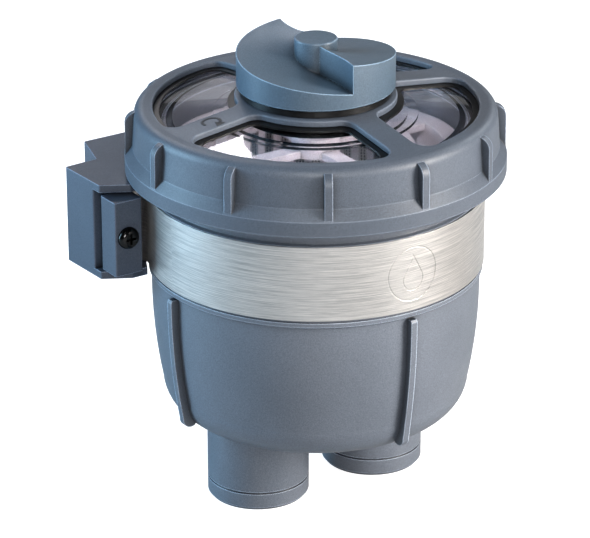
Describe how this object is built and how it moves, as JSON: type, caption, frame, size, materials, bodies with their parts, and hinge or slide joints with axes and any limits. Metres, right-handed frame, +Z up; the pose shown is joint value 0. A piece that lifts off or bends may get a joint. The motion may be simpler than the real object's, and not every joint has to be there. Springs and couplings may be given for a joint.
{
  "type": "cooling-water strainer",
  "caption": "Round plastic in-line water strainer with a windowed screw lid, centre knob, lift-out basket, steel strap, bulkhead bracket and hose tails underneath.",
  "frame": {"origin": "on the bowl's axis, in the plane of the two hose tail ends, which the part stands on", "axes": "+Z up along the bowl's axis, +Y towards the bulkhead, hose tails spaced along X, front of the strap at -Y"},
  "size_m": [0.1504, 0.1428, 0.1753],
  "materials": {
    "housing_plastic": "slate blue-grey moulded plastic, fine satin grain",
    "lid_plastic": "slate blue-grey moulded plastic, satin",
    "knob_plastic": "slate blue-grey moulded plastic, smooth satin",
    "bracket_plastic": "dark blue-grey moulded plastic, fine grain",
    "basket_plastic": "natural light grey moulded plastic",
    "strap_steel": "brushed along the strap",
    "mesh_steel": "fine woven stainless mesh",
    "plated_steel": "bright",
    "black_steel": "black oxide, slightly oily",
    "insert_brass": "turned",
    "seal_rubber": "matt black",
    "gasket_rubber": "black, slight sheen",
    "window_clear": "clear, polished"
  },
  "bodies": {
    "housing": {"housing": "housing_plastic", "inlet_hose_tail": "housing_plastic", "outlet_hose_tail": "housing_plastic", "tail_o_rings": "seal_rubber", "tail_nuts": "housing_plastic", "inlet_standpipe": "basket_plastic", "lid_o_ring": "seal_rubber", "strap": "strap_steel", "bracket": "bracket_plastic", "wall_inserts": "insert_brass", "bracket_pad": "seal_rubber", "clamp_block_left": "bracket_plastic", "clamp_block_right": "bracket_plastic", "clamp_screws": "black_steel", "clamp_nuts": "plated_steel"},
    "window": {"window_disc": "window_clear", "stem_seal": "seal_rubber"},
    "lid": {"lid_ring": "lid_plastic", "window_gasket": "gasket_rubber"},
    "knob": {"knob": "knob_plastic", "knob_washer": "gasket_rubber", "knob_stem": "plated_steel", "knob_pin": "plated_steel", "stem_clip": "plated_steel", "stem_foot": "seal_rubber"},
    "basket": {"basket_floor": "basket_plastic", "basket_sleeve": "basket_plastic", "basket_cage": "basket_plastic", "basket_mesh": "mesh_steel", "basket_rim": "basket_plastic", "basket_handle": "basket_plastic"}
  },
  "joints": [
    {"name": "lid_lift", "type": "slide", "parent": "housing", "child": "window", "axis": [0, 0, 1], "range_m": [0, 0.16]},
    {"name": "lid_turn", "type": "hinge", "parent": "window", "child": "lid", "pos_m": [0, 0, 0.145], "axis": [0, 0, 1], "range_deg": [0, 90]},
    {"name": "knob_turn", "type": "hinge", "parent": "lid", "child": "knob", "pos_m": [0, 0, 0.16], "axis": [0, 0, 1], "range_deg": [0, 180]},
    {"name": "basket_lift", "type": "slide", "parent": "housing", "child": "basket", "axis": [0, 0, 1], "range_m": [0, 0.11]}
  ],
  "couplings": [
    {"joint": "basket_lift", "follows": "lid_lift", "ratio": 0.6875}
  ]
}
